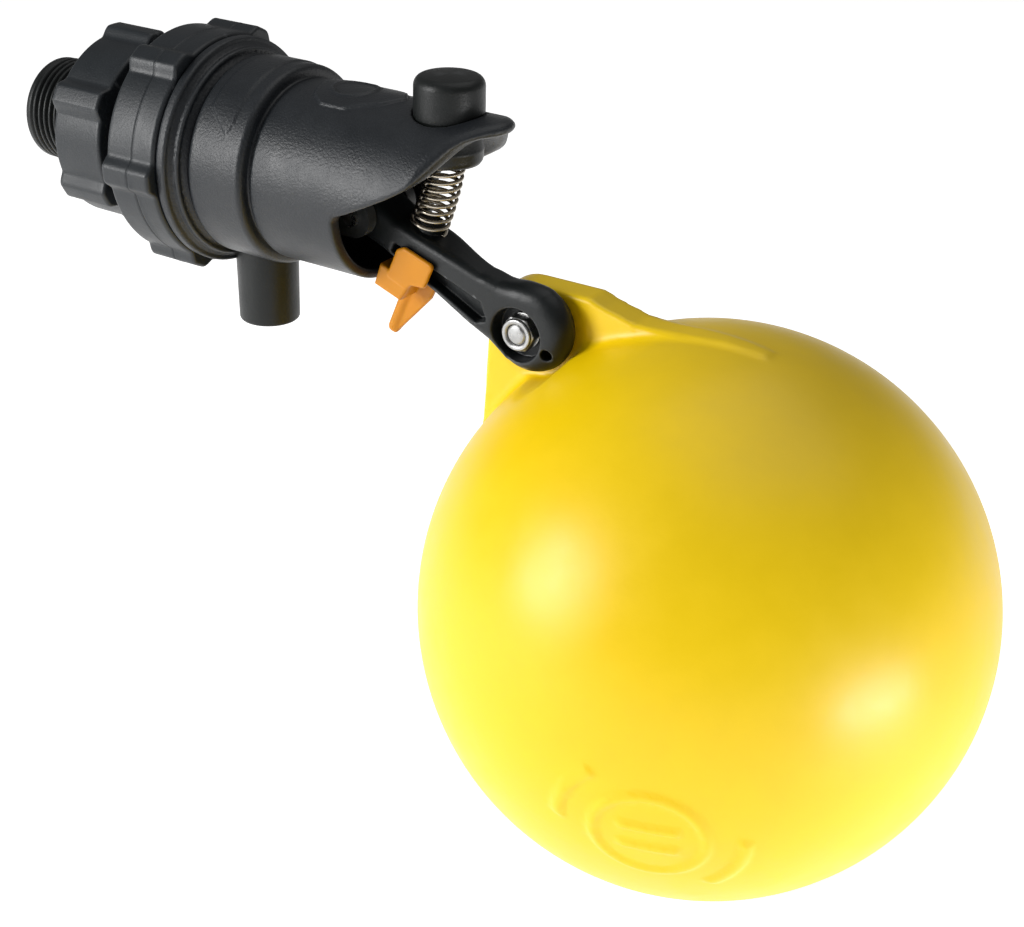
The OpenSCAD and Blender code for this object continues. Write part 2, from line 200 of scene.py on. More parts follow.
def moulded(name, field, low, high, step):
    """Mesh a distance field's surface: a point in each cell that it crosses, then pulled onto the surface."""
    axes = [np.arange(a - 1.5 * step, b + 2.5 * step, step) for a, b in zip(low, high)]
    gx, gy, gz = np.meshgrid(*axes, indexing="ij", sparse=True)
    f = np.broadcast_to(field(gx, gy, gz), [len(a) for a in axes]).astype(np.float32)
    inside = f < 0
    shape = [n - 1 for n in f.shape]
    total = np.zeros(shape + [3], np.float32)
    count = np.zeros(shape, np.float32)
    corners = np.array([[i, j, k] for i in (0, 1) for j in (0, 1) for k in (0, 1)])

    def part(a, c):
        return a[c[0]: c[0] + shape[0], c[1]: c[1] + shape[1], c[2]: c[2] + shape[2]]

    for c in corners:
        for axis in range(3):
            if c[axis]:
                continue
            d = c.copy()
            d[axis] = 1
            fa, fb = part(f, c), part(f, d)
            hit = part(inside, c) != part(inside, d)
            t = np.where(hit, fa / np.where(hit, fa - fb, 1), 0)
            for i in range(3):
                total[..., i] += np.where(hit, c[i] + (t if i == axis else 0), 0)
            count += hit
    used = count > 0
    index = np.full(shape, -1, np.int64)
    index[used] = np.arange(used.sum())
    where = np.argwhere(used)
    verts = where + total[used] / count[used][:, None]
    verts = verts * step + np.array([a[0] for a in axes])
    quads = []
    for axis in range(3):
        u, v = (axis + 1) % 3, (axis + 2) % 3
        lo = [slice(1, -1)] * 3
        hi = [slice(1, -1)] * 3
        lo[axis], hi[axis] = slice(0, -1), slice(1, None)
        a, b = inside[tuple(lo)], inside[tuple(hi)]
        at = np.argwhere(a != b)
        flips = a[tuple(at.T)]
        at[:, u] += 1
        at[:, v] += 1
        ring = []
        for du, dv in ((0, 0), (-1, 0), (-1, -1), (0, -1)):
            cell = at.copy()
            cell[:, u] += du
            cell[:, v] += dv
            ring.append(index[tuple(cell.T)])
        ring = np.stack(ring, 1)
        ring[~flips] = ring[~flips][:, ::-1]
        quads.append(ring)
    quads = np.concatenate(quads)
    return grid_object(name, pulled_onto(field, verts, step), quads)


def pulled_onto(field, verts, step):
    """Move points onto a field's surface along its gradient, in three short moves."""
    eps = 0.05 * step
    least_gradient, longest_move = 0.2, 0.6 * step
    for _ in range(3):
        x, y, z = verts.T
        d = field(x, y, z)
        beside = [field(x + eps * (i == 0), y + eps * (i == 1), z + eps * (i == 2)) for i in range(3)]
        g = np.stack([(there - d) / eps for there in beside], 1)
        norm = np.maximum((g * g).sum(1), least_gradient)
        move = -g * (d / norm)[:, None]
        verts = verts + np.clip(move, -longest_move, longest_move)
    return verts


def revolved(name, rings, segments, centre=(0, 0, 0), axis="X", closed=True):
    """Surface of revolution from rings of (place along the axis, radius); a radius may depend on the angle."""
    angles = np.linspace(0, 2 * math.pi, segments, endpoint=False)
    rows = []
    for along, radius in rings:
        s = np.full(segments, float(along))
        r = radius(angles) if callable(radius) else np.full(segments, float(radius))
        if axis == "X":
            rows.append(np.stack([s, r * np.cos(angles), r * np.sin(angles)], 1))
        elif axis == "Y":
            rows.append(np.stack([r * np.sin(angles), s, r * np.cos(angles)], 1))
        else:
            rows.append(np.stack([r * np.cos(angles), r * np.sin(angles), s], 1))
    verts = np.concatenate(rows) + np.array(centre)
    n = len(rows)
    i, j = np.meshgrid(np.arange(n if closed else n - 1), np.arange(segments), indexing="ij")
    i, j = i.ravel(), j.ravel()
    i2, j2 = (i + 1) % n, (j + 1) % segments
    quads = np.stack([i * segments + j, i * segments + j2, i2 * segments + j2, i2 * segments + j], 1)
    return grid_object(name, verts, quads)


def rounded_path(points, edge=0.4, steps=4):
    """A closed path of rings with each corner rounded, for a revolved piece."""
    out = []
    n = len(points)
    for k in range(n):
        p = np.array(points[k], float)
        a, b = np.array(points[k - 1], float), np.array(points[(k + 1) % n], float)
        la, lb = np.linalg.norm(a - p), np.linalg.norm(b - p)
        cut = min(edge, 0.45 * la, 0.45 * lb)
        start, end = p + (a - p) / la * cut, p + (b - p) / lb * cut
        for t in np.linspace(0, 1, steps):
            out.append(tuple((1 - t) ** 2 * start + 2 * t * (1 - t) * p + t * t * end))
    return out


def fix_normals(obj):
    """Point all faces outwards."""
    bm = bmesh.new()
    bm.from_mesh(obj.data)
    bmesh.ops.recalc_face_normals(bm, faces=bm.faces)
    bm.to_mesh(obj.data)
    bm.free()
    return obj


# ---- materials ----

MIX_FACTOR, MIX_A, MIX_B, MIX_OUT = 0, 6, 7, 2  # the mix node's sockets when it mixes colours
# grey of the paler convex edges: part real wear, part painted edge highlight
WEAR_AND_HIGHLIGHT_GREY = (0.22, 0.23, 0.24)


def material(name, color, roughness, **sockets):
    """A material with its fixed values on the shader's own sockets."""
    m = bpy.data.materials.new(name)
    m.use_nodes = True
    bsdf = m.node_tree.nodes["Principled BSDF"]
    bsdf.inputs["Base Color"].default_value = (*color, 1)
    bsdf.inputs["Roughness"].default_value = roughness
    for socket, value in sockets.items():
        bsdf.inputs[socket.replace("_", " ")].default_value = value
    return m


def add(m, kind, **values):
    """Add a node, set its inputs by name, and return it."""
    n = m.node_tree.nodes.new(kind)
    for key, value in values.items():
        if key in n.inputs:
            n.inputs[key].default_value = value
        else:
            setattr(n, key, value)
    return n


def wire(m, a, out, b, into):
    """Join one node's output to another's input."""
    m.node_tree.links.new(a.outputs[out], b.inputs[into])


def noise(m, coords, size, detail=2.0, roughness=0.5, distortion=0.0):
    """Noise with features about so many millimetres across."""
    n = add(
        m, "ShaderNodeTexNoise", Scale=1 / (size * MM), Detail=detail, Roughness=roughness, Distortion=distortion,
    )
    wire(m, coords, "Object", n, "Vector")
    return n


def spread(m, source, out, low, high, to_low, to_high):
    """Map a value range onto another."""
    n = add(m, "ShaderNodeMapRange")
    for key, value in (("From Min", low), ("From Max", high), ("To Min", to_low), ("To Max", to_high)):
        n.inputs[key].default_value = value
    wire(m, source, out, n, "Value")
    return n


def mixed_color(m, first, second, factor, out):
    """A colour that changes between two with a factor."""
    n = add(m, "ShaderNodeMix", data_type="RGBA")
    n.inputs[MIX_A].default_value = (*first, 1)
    n.inputs[MIX_B].default_value = (*second, 1)
    wire(m, factor, out, n, MIX_FACTOR)
    return n


def moulded_plastic(name, color, roughness, grain, height, wear_and_highlight=0.0, patches=0.06, tint=0.25, **sockets):
    """Moulded plastic: fine grain, uneven gloss, slight colour change, and paler convex edges, part wear and part
    painted edge highlight.

    grain is the size of the grain and height its depth in millimetres, wear_and_highlight is how pale the edges
    are, patches is how far the gloss changes and tint how far the colour does.
    """
    m = material(name, color, roughness, **sockets)
    bsdf = m.node_tree.nodes["Principled BSDF"]
    coords = add(m, "ShaderNodeTexCoord")
    fine = noise(m, coords, grain, 3.0, 0.6)
    broad = noise(m, coords, 9.0, 4.0, 0.6)
    bump = add(m, "ShaderNodeBump", Strength=1.0, Distance=height * MM)
    wire(m, fine, "Fac", bump, "Height")
    wire(m, bump, "Normal", bsdf, "Normal")
    gloss = spread(m, broad, "Fac", 0.3, 0.7, roughness - patches, roughness + patches)
    wire(m, gloss, "Result", bsdf, "Roughness")
    darker, lighter = [c * (1 - tint) for c in color], [min(1, c * (1 + tint)) for c in color]
    last = shade = mixed_color(m, darker, lighter, broad, "Fac")
    # paler convex edges, broken up by noise: part real wear, part painted edge highlight
    if wear_and_highlight:
        geometry = add(m, "ShaderNodeNewGeometry")
        edges = spread(m, geometry, "Pointiness", 0.52, 0.60, 0.0, wear_and_highlight)
        edge_breakup = noise(m, coords, 2.5, 6.0, 0.7, 0.5)
        wear_and_highlight_mask = add(m, "ShaderNodeMath", operation="MULTIPLY")
        wire(m, edges, "Result", wear_and_highlight_mask, 0)
        wire(m, edge_breakup, "Fac", wear_and_highlight_mask, 1)
        last = mixed_color(m, color, WEAR_AND_HIGHLIGHT_GREY, wear_and_highlight_mask, 0)
        wire(m, shade, MIX_OUT, last, MIX_A)
    wire(m, last, MIX_OUT, bsdf, "Base Color")
    return m


def metal(name, color, roughness, streaks):
    """Bright metal with fine drawn or turned streaks; streaks is how the noise is squeezed on each axis."""
    m = material(name, color, roughness, Metallic=1.0)
    bsdf = m.node_tree.nodes["Principled BSDF"]
    coords = add(m, "ShaderNodeTexCoord")
    squeeze = add(m, "ShaderNodeMapping")
    squeeze.inputs["Scale"].default_value = streaks
    wire(m, coords, "Object", squeeze, "Vector")
    lines = add(m, "ShaderNodeTexNoise", Scale=1200.0, Detail=4.0)
    wire(m, squeeze, "Vector", lines, "Vector")
    bump = add(m, "ShaderNodeBump", Strength=0.5, Distance=0.01 * MM)
    wire(m, lines, "Fac", bump, "Height")
    wire(m, bump, "Normal", bsdf, "Normal")
    gloss = spread(m, lines, "Fac", 0.3, 0.7, roughness * 0.7, roughness * 1.5)
    wire(m, gloss, "Result", bsdf, "Roughness")
    stains = noise(m, coords, 3.0, 3.0)
    shade = mixed_color(m, [c * 0.75 for c in color], color, stains, "Fac")
    wire(m, shade, MIX_OUT, bsdf, "Base Color")
    return m


MATERIALS = {
    "body_black": moulded_plastic(
        "body_black", (0.009, 0.011, 0.0135), 0.42, 0.6, 0.12, wear_and_highlight=0.3, Specular_IOR_Level=0.4,
    ),
    "nut_black": moulded_plastic(
        "nut_black", (0.009, 0.0115, 0.014), 0.44, 0.6, 0.06, wear_and_highlight=0.3, Specular_IOR_Level=0.4,
    ),
    "smooth_black": moulded_plastic(
        "smooth_black", (0.005, 0.0062, 0.006), 0.4, 0.5, 0.07, wear_and_highlight=0.2, Specular_IOR_Level=0.28,
    ),
    "arm_black": moulded_plastic(
        "arm_black", (0.005, 0.0065, 0.007), 0.4, 1.2, 0.05, wear_and_highlight=0.8, Specular_IOR_Level=0.3,
    ),
    "float_yellow": moulded_plastic(
        "float_yellow", (0.8, 0.54, 0.0), 0.38, 1.6, 0.02, patches=0.04, tint=0.05, Specular_IOR_Level=0.4,
    ),
    "clip_orange": moulded_plastic(
        "clip_orange", (0.5, 0.19, 0.001), 0.42, 0.8, 0.01, tint=0.08,
        Subsurface_Weight=0.03, Subsurface_Scale=0.004, Specular_IOR_Level=0.3,
    ),
    "pale_plastic": moulded_plastic("pale_plastic", (0.72, 0.7, 0.62), 0.45, 0.5, 0.01),
    "black_rubber": moulded_plastic("black_rubber", (0.012, 0.012, 0.012), 0.75, 0.4, 0.02),
    "red_rubber": moulded_plastic("red_rubber", (0.3, 0.04, 0.03), 0.6, 0.4, 0.01),
    "steel": metal("steel", (0.4, 0.4, 0.395), 0.33, (1, 0.05, 1)),
    "spring_steel": metal("spring_steel", (0.5, 0.45, 0.37), 0.25, (0.3, 0.3, 1.5)),
    "brass": metal("brass", (0.72, 0.5, 0.19), 0.3, (0.05, 1, 1)),
}


def finish_piece(obj, body, slot, *nodes):
    """Give a piece its material, the body that it moves with, and the CAD nodes that it stands for."""
    obj.data.materials.clear()
    obj.data.materials.append(MATERIALS[slot])
    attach(obj, body)
    if nodes:
        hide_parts(*nodes)
    return obj


# ---- inlet ----

def inlet_thread():
    """Threaded stem: one helical thread, plain shank, flange and stepped bore, as one closed skin."""
    root = THREAD_R - THREAD_DEPTH
    dx = 0.13

    def radius_at(x):
        def radius(angle):
            phase = ((x - THREAD_X0) / THREAD_PITCH - angle / (2 * math.pi)) % 1
            flank = np.clip((0.5 - np.abs(phase - 0.5)) * 2.9 - 0.12, 0, 1)
            crest = flank * flank * (3 - 2 * flank) * 0.35 + flank * 0.65
            fade = np.clip((x - THREAD_X0) / 1.6, 0, 1) * np.clip((THREAD_X1 - x) / 2.5, 0, 1)
            top = min(THREAD_R, PLAIN_R + 0.5 * (x - THREAD_X0))
            plain = PLAIN_R if x < 10 else SHANK_R
            return np.minimum(root + (THREAD_R - root) * crest, top) * fade + plain * (1 - fade)
        return radius

    rings = [(0.0, 9.3), (0.0, 12.6), (0.12, 12.95), (0.4, PLAIN_R), (1.1, PLAIN_R)]
    rings += [(x, radius_at(x)) for x in np.arange(THREAD_X0, THREAD_X1, dx)]
    # shank and flange, then back through the bore
    rings += [
        (37.5, SHANK_R), (38.5, 13.0), (46.6, 13.0), (46.6, 23.2), (50.0, 23.4), (50.0, 19.9), (54.5, 19.9),
        (54.5, 9.95), (44.0, 9.95), (44.0, 7.2), (14.4, 7.2), (14.4, 7.9), (12.0, 7.9), (12.0, 8.5), (0.6, 8.5),
    ]
    obj = revolved("inlet_thread", rings, 240)
    return finish_piece(fix_normals(obj), "root", "smooth_black", "inlet_stem")


def lobe_height(angle, first, radius, height, flat, skirt):
    """How far the grip lobes stand out at each angle; each is flat on top and fades out at its skirt."""
    step = 2 * math.pi / LOBES
    off = np.abs((angle - first + step / 2) % step - step / 2) * radius
    t = np.clip((off - flat) / (skirt - flat), 0, 1)
    return height * 0.5 * (1 + np.cos(math.pi * t))


def grip_nut(name, body, x0, x1, radius, bores, first, lobe, edge, seam=None):
    """Lobed nut. bores is the inside as (x, radius) from the far face back to the near one."""
    def outer(drop):
        """The outside's radius at each angle, less a drop for an edge or a seam."""
        def r(angle):
            return radius + lobe_height(angle, first, radius, lobe, 1.5, 4.7) - drop
        return r

    turns = np.linspace(0, math.pi / 2, 6)
    rings = [(x0, outer(2.6)), (x0, outer(edge + 0.1))]
    rings += [(x0 + edge * (1 - math.sin(t)), outer(edge * (1 - math.cos(t)))) for t in turns[::-1]]
    rings += [(x, outer(0)) for x in np.linspace(x0 + edge + 0.4, x1 - edge - 0.4, 9)]
    if seam:
        rings += [(seam + dx, outer(drop)) for dx, drop in ((-0.16, 0), (0, 0.22), (0.14, 0), (0.3, -0.05))]
    corner = 2 + len(turns)
    rings = rings[:corner] + sorted(rings[corner:], key=lambda ring: ring[0])
    rings += [(x1 - edge * (1 - math.sin(t)), outer(edge * (1 - math.cos(t)))) for t in turns]
    rings += [(x1, outer(edge + 0.1)), (x1, outer(2.6))]
    rings += bores
    obj = revolved(name, rings, 432)
    return finish_piece(fix_normals(obj), body, "nut_black", name.replace("_shell", ""))


def nuts():
    grip_nut(
        "backnut_shell", "backnut", 20.5, 36.0, 23.2,
        [(36.0, 14.2), (35.2, 13.4), (21.3, 13.4), (20.5, 14.2)], math.radians(30), 2.2, 1.0,
    )
    grip_nut(
        "union_nut_shell", "root", 43.5, 58.5, 28.4,
        [(58.5, 25.6), (57.8, 24.95), (46.6, 24.95), (46.6, 13.4), (43.5, 13.4)], math.radians(3), 2.1, 1.0,
        seam=52.0,
    )


def washer_ring():
    path = rounded_path([(36.4, 13.2), (36.4, 19.5), (38.9, 19.5), (38.9, 13.2)], 0.5)
    obj = revolved("wall_gasket_ring", path, 96)
    return finish_piece(fix_normals(obj), "wall_gasket", "black_rubber", "wall_gasket")


# ---- body ----

# what stays of the barrel past the mouth, seen from the side
TONGUE = [
    (40, -40), (MOUTH_X, -40), (MOUTH_X, -3.2), (107.2, -1.8), (111, -0.1), (116, 2.4), (121, 5),
    (125, 7.4), (128, 9.7), (130, 11.8), (131.7, 14.2), (133, 16.2), (134.6, 17.5), (136.4, 18.1),
    (138.4, 18.3), (150, 18.4), (150, 40), (40, 40),
]


# blank badge on the barrel, seen from above
BADGE = [
    (88.5, 0), (91, -6.4), (94.5, -8.7), (101, -8.7), (108.5, -4.6), (111.5, 0),
    (108.5, 4.6), (101, 8.7), (94.5, 8.7), (91, 6.4),
]


def tip_plan():
    """Round tip of the tongue, seen from above."""
    arc = [(132.8 + 8 * math.cos(a), 8 * math.sin(a)) for a in np.radians(np.linspace(-35, 35, 9))]
    return [(40, -40), (127, -40), (127, -20.5)] + arc + [(127, 20.5), (127, 40), (40, 40)]


def raised(field, flat, height, slope=0.35):
    """Lift a surface by a small height inside a flat outline."""
    return field - height * np.clip(0.5 - flat / slope, 0, 1)


def body_field(x, y, z):
    """Flange, cone, bead, band and barrel, cut away to the tongue, with the hollows inside."""
    rho = np.hypot(y, z)
    low = z + BARREL_DROP
    flange = rod(x, y, z, 58.7, 61.4, 27.8, 0.7)
    cone = np.maximum(0.65 * (rho + 1.2 * (x - 61.2) - 26.9), slab(x, 60.5, 64.7))
    bead = np.hypot(x - 62.9, rho - 24.9) - 0.7
    neck = rod(x, y, z, 50, 86, 21.2)
    threaded = rod(x, y, z, 50, 60, 24.6, 0.5)
    band = rod(x, y, z, 65.3, 81.6, BAND_R, 1.5)
    barrel = rod(x, y, low, 82.9, 160, BARREL_R, 0.35)
    f = np.minimum(np.minimum(flange, cone), np.minimum(neck, threaded))
    f = np.minimum(f, bead)
    f = smooth_min(f, band, 0.5)
    # flow arrow raised on the band
    around = np.arctan2(z, y)
    along = (around - math.radians(90)) * BAND_R
    arrow = outline(x, along, [(69, -22), (77, -22), (77, 23), (76, 26.2), (69, 20)])
    f = raised(f, np.maximum(arrow, 23.9 - rho), 0.34, 0.3)
    # blank badge and ring on top of the barrel
    badge = outline(x, y, BADGE) - 0.6
    barrel = raised(barrel, np.maximum(badge, 12 - z), 0.6)
    barrel = raised(barrel, np.maximum(np.abs(np.hypot(x - 97.6, y) - 5.4) - 0.45, 12 - z), 0.4)
    f = smooth_min(f, barrel, 0.4)
    f = smooth_max(f, outline(x, z, TONGUE), 0.9)
    tip = outline(x, y, tip_plan())
    # the mouth's hollow, and the chamber under the band
    hollow = np.minimum(HOLLOW_R - np.hypot(y, z + HOLLOW_DROP), x - HOLLOW_X0)
    chamber = np.minimum(CHAMBER_R - rho, CHAMBER_X1 - x)
    f = smooth_max(f, hollow, 0.8)
    f = smooth_max(f, tip, 1.0 + 1.6 * np.clip((x - 124) / 6, 0, 1))
    f = np.maximum(f, chamber)
    # guide hole for the button, and socket for the outlet pipe
    f = smooth_max(f, np.minimum(BUTTON_HOLE_R - np.hypot(x - BUTTON_X, y), z - 5), 0.5)
    return np.maximum(f, np.minimum(OUTLET_R + 0.1 - np.hypot(x - OUTLET_X, y), -15 - z))


def valve_body_shell():
    obj = moulded("valve_body_shell", body_field, (50, -28, -28), (142, 28, 28), 0.47)
    return finish_piece(obj, "root", "body_black", "valve_body")


def outlet():
    path = rounded_path([(-20.4, 5.9), (-20.4, 7.95), (-42.6, 7.65), (-42.6, 5.9)], 1.0, 6)
    obj = revolved("outlet_tube", path, 96, (OUTLET_X, 0, 0), "Z")
    return finish_piece(fix_normals(obj), "root", "smooth_black", "outlet_pipe")


# ---- flush button ----

def button_cap():
    """Hollow button: up the inside, which flares round the spring, then up the stem to the rounded top."""
    turns = np.linspace(0, math.pi / 2, 8)
    rings = [
        (24.6, 0.01), (24.6, 5.3), (17.5, 5.3), (9.8, 7.1), (9.5, 7.2), (9.55, 7.35), (10.2, 7.8), (10.9, 8.0),
        (12.4, 8.02), (12.6, 8.12), (13.2, 8.12), (13.4, 8.02), (19.6, 8.02), (19.9, 8.15), (20.2, 8.25),
        (22, 8.25), (23.5, 8.25), (25, 8.22),
    ]
    rings += [(27.15 + 2.35 * math.sin(t), 5.95 + 2.27 * math.cos(t)) for t in turns]
    rings += [(29.66, 4.4), (29.77, 2.4), (29.8, 0.01)]
    obj = revolved("flush_button_cap", rings, 128, (BUTTON_X, 0, 0), "Z", closed=False)
    return finish_piece(fix_normals(obj), "flush_button", "smooth_black", "flush_button")


def swept(name, path, wire_r, sides):
    """Round wire along a path, with closed ends, in millimetres."""
    path = np.asarray(path, float)
    tangent = np.gradient(path, axis=0)
    tangent /= np.linalg.norm(tangent, axis=1)[:, None]
    up = np.array([0.0, 0.0, 1.0])
    side = np.cross(tangent, up)
    side /= np.linalg.norm(side, axis=1)[:, None]
    over = np.cross(side, tangent)
    a = np.linspace(0, 2 * math.pi, sides, endpoint=False)[None, :, None]
    rows = path[:, None] + wire_r * (np.cos(a) * side[:, None] + np.sin(a) * over[:, None])
    n = len(path)
    faces = [
        (i * sides + j, i * sides + (j + 1) % sides, (i + 1) * sides + (j + 1) % sides, (i + 1) * sides + j)
        for i in range(n - 1) for j in range(sides)
    ]
    faces += [tuple(range(sides)), tuple((n - 1) * sides + j for j in range(sides))]
    return fix_normals(new_object(name, rows.reshape(-1, 3), faces))


def button_coil():
    """Coil spring that leans back to the peg on the arm, with its foot turns tilted to lie on the arm."""
    turns, top, foot = 14, 19.0, (118.2, -8.1)
    wire_r, coil_r = 0.48, 4.23
    t = np.linspace(0, 1, turns * 32 + 1)
    a = 2 * math.pi * turns * t
    height = top - foot[1] - 2 * wire_r
    lean, foot_tilt = (1 - t) ** 2.1, (1 - t) ** 3 * 0.38
    path = np.stack([
        BUTTON_X - (BUTTON_X - foot[0]) * lean + coil_r * np.cos(a),
        coil_r * np.sin(a),
        foot[1] + wire_r + height * t - foot_tilt * coil_r * np.cos(a),
    ], 1)
    obj = swept("button_coil", path, wire_r, 10)
    finish_piece(obj, "root", "spring_steel", "button_spring")
    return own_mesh(obj)


# ---- arm ----

# outlines seen from the side, as (U, W)
ARM_TOP = [(0, 4.7), (8, 3.5), (15, 3.6), (25, 4.4), (34, 5.1), (39, 6.2), (44, 8.2), (50, 9.7)]
ARM_BOTTOM = [(48, -9.6), (42, -8.3), (37, -7.5), (25, -6), (8, -4.6), (0, -4.7)]
ARM_NOSE = [(-4.7, 0), (-9.45, 5.5), (-10.45, 6), (-10.45, 13), (-7.95, 13), (-6.45, 9), (4.5, 2), (0, -4)]
ARM_GROOVE = [(11.5, -1.8), (11.5, -3.4), (30, -4.7), (37.5, -5.3), (39.3, -3.6), (36.6, -1.0), (30, -1.2)]


def arm_field(x, y, z):
    """Lever between its pivot and its round end, with everything that is cut in it or stands on it."""
    u, w = arm_axes(x, z)
    flat = outline(u, w, ARM_TOP + ARM_BOTTOM)
    flat = smooth_min(flat, np.hypot(u, w) - 4.8, 1.0)
    flat = smooth_min(flat, np.hypot(u - END_U - 0.4, w - 0.1) - END_R - ARM_GROWTH, 1.6)
    # the far side thins towards the lap, and the edges get rounder towards the end
    lap = np.clip((u - 17) / 17, 0, 1)
    far = ARM_HALF - (ARM_HALF - 2.3) * lap * lap * (3 - 2 * lap)
    edge = 2.6 + 2.4 * np.clip((u - 36) / 10, 0, 1)
    f = smooth_max(flat - ARM_GROWTH, np.maximum(-ARM_HALF - y, y - far), edge)
    # nose that shuts the pilot jet, swung open with the arm
    c, s = math.cos(ARM_LIFT), math.sin(ARM_LIFT)
    dx, dz = x - PIVOT[0], z - PIVOT[2]
    nx, nz = c * dx - s * dz, s * dx + c * dz
    nose = outline(nx, nz, ARM_NOSE)
    f = smooth_min(f, extruded(nose, y, 4.0, 0.5), 0.8)
    # peg under the spring
    peg = np.maximum(np.hypot(u - SPRING_U, y) - 3.2, np.abs(w - 4.7) - 1.7)
    f = np.minimum(f, peg)
    # hollow in each side, with a slanting end by the boss
    groove = outline(u, w, ARM_GROOVE) - 0.5
    f = smooth_max(f, -np.maximum(groove, 2.6 - np.abs(y)), 0.9)
    # lap for the float's tab, pocket for the nut, bolt hole, index hole and pivot hole
    off = np.hypot(u - BOLT_U, w - BOLT_W)
    f = smooth_max(f, -np.maximum(off - LAP_R, LAP_Y - y), 0.4)
    f = smooth_max(f, -np.maximum(off - POCKET_R, y - POCKET_Y), 0.7)
    f = np.maximum(f, BOLT_HOLE_R - off)
    f = smooth_max(f, 1.4 - np.hypot(u - 57.1, w + 1.7), 0.3)
    return np.maximum(f, PIN_HOLE_R - np.hypot(dx, dz))


def arm_lever():
    obj = moulded("arm_lever", arm_field, (91, -6, -36), (160, 6, 9), 0.34)
    return finish_piece(obj, "arm", "arm_black", "arm")


# ---- lock clip ----

CLIP_PLATE = [(13.8, -8), (13.8, -1.6), (15.0, -0.4), (22.4, 0), (22.3, -5), (19.2, -6.4), (18, -8)]
CLIP_BLOCK = [(10, -7.2), (19.5, -7.2), (18.4, -12.8), (10.4, -13.2)]
CLIP_FIN = [(15, -12), (15.4, -26), (17.2, -26.3), (22.6, -12), (22.8, -7.4), (16, -7.4)]


def clip_field(x, y, z):
    """A plate on each side of the arm, a block under it, and a fin with a round bar along it."""
    u, w = arm_axes(x, z)
    plate = outline(u, w, CLIP_PLATE) - 1.0
    side = extruded(plate, np.abs(y) - 7.0, 0.7, 0.8)
    block = outline(u, w, CLIP_BLOCK)
    f = smooth_min(side, extruded(block, y, 7.4, 0.7), 0.5)
    fin = outline(u, w, CLIP_FIN)
    f = smooth_min(f, extruded(fin, y, 0.75, 0.4), 0.6)
    bar = np.sqrt((u - 16) ** 2 + y ** 2 + (w - np.clip(w, -25.0, -12)) ** 2) - 1.5
    return smooth_min(f, bar, 0.6)


def clip():
    obj = moulded("lock_clip_shell", clip_field, (103, -8, -38), (127, 8, -8), 0.3)
    return finish_piece(obj, "lock_clip", "clip_orange", "lock_clip")


# ---- float ----

def tab_outline():
    """Tab over the ball, seen from the side: round over the bolt, running down into a ridge."""
    cx, cz, r = BOLT_X - 2.2, BOLT_Z - 1.0, 10.5
    arc = [(cx + r * math.cos(a), cz + r * math.sin(a)) for a in np.radians(np.linspace(180, 90, 10))]
    ridge = [
        (161, cz + r + 0.1), (165, cz + r - 1.3), (173, -19.9), (184, -20.0), (195, -19.55), (204, -20.7),
    ]
    return [(cx - r - 1.6, -60)] + arc + ridge + [(204, -60)]


def float_field(x, y, z):
    """Ball with its tab, a moulded mark, a dish for the arm's boss and the bolt's hole."""
    cx, cy, cz = FLOAT_C
    ball = np.sqrt((x - cx) ** 2 + (y - cy) ** 2 + (z - cz) ** 2) - FLOAT_R
    mid = (TAB_Y0 + TAB_Y1) / 2
    half = (TAB_Y1 - TAB_Y0) / 2
    ridge_half = half - 3.2 * np.clip((x - 172) / 32, 0, 1)
    tab = extruded(outline(x, z, tab_outline()), np.abs(y - mid) - ridge_half + half, half, 0.9)
    f = smooth_min(ball, tab, 2.6)
    # plain ring, bars and arcs on the lower side
    a, b, depth = mark_axes(x, y, z)
    ring = np.abs(np.hypot(a, b) - 12.5) - 1.0
    bars = np.minimum(slab_box(a, b - 3.2, 6.5, 1.0), slab_box(a, b + 3.2, 6.5, 1.0))
    arcs = np.maximum(np.abs(np.hypot(a, b) - 20.5) - 1.3, np.abs(a * 0.45 - b) - 10.0)
    mark = np.minimum(np.minimum(ring, bars), arcs)
    f = raised(f, np.maximum(mark, 20 - depth), MARK_HEIGHT, 1.2)
    off = np.hypot(x - BOLT_X, z - BOLT_Z)
    f = smooth_max(f, np.minimum(DISH_R - off, TAB_Y0 - y), 0.8)
    # the mark comes no further out towards -Y than the ball itself
    return np.maximum(np.maximum(f, TAB_HOLE_R - off), cy - FLOAT_R - y)


MARK_NORMAL = Vector((0.3, -0.91, -0.27)).normalized()
MARK_RIGHT = Vector((0, 0, 1)).cross(-MARK_NORMAL).normalized()
MARK_UP = MARK_RIGHT.cross(MARK_NORMAL)


def mark_axes(x, y, z):
    """Flat axes of the moulded mark, and how far out a point is on its side of the ball."""
    p = [x - FLOAT_C[0], y - FLOAT_C[1], z - FLOAT_C[2]]
    return tuple(sum(c * t for c, t in zip(axis, p)) for axis in (MARK_RIGHT, MARK_UP, MARK_NORMAL))


def slab_box(a, b, half_a, half_b):
    """Rectangle in a plane, by its half sizes."""
    return np.maximum(np.abs(a) - half_a, np.abs(b) - half_b)


def float_ball():
    obj = moulded("float_ball", float_field, (127, -63, -158), (264, 76, -17), 1.0)
    return finish_piece(obj, "float", "float_yellow", "float")


# ---- float fixings ----

def hex_radius(across, rounding):
    """Radius of a hexagon with softened corners at each angle."""
    def r(angle):
        turn = (angle + math.pi / 6) % (math.pi / 3) - math.pi / 6
        return np.minimum(across / 2 / np.cos(turn), across / 2 / math.cos(math.pi / 6) - rounding)
    return r


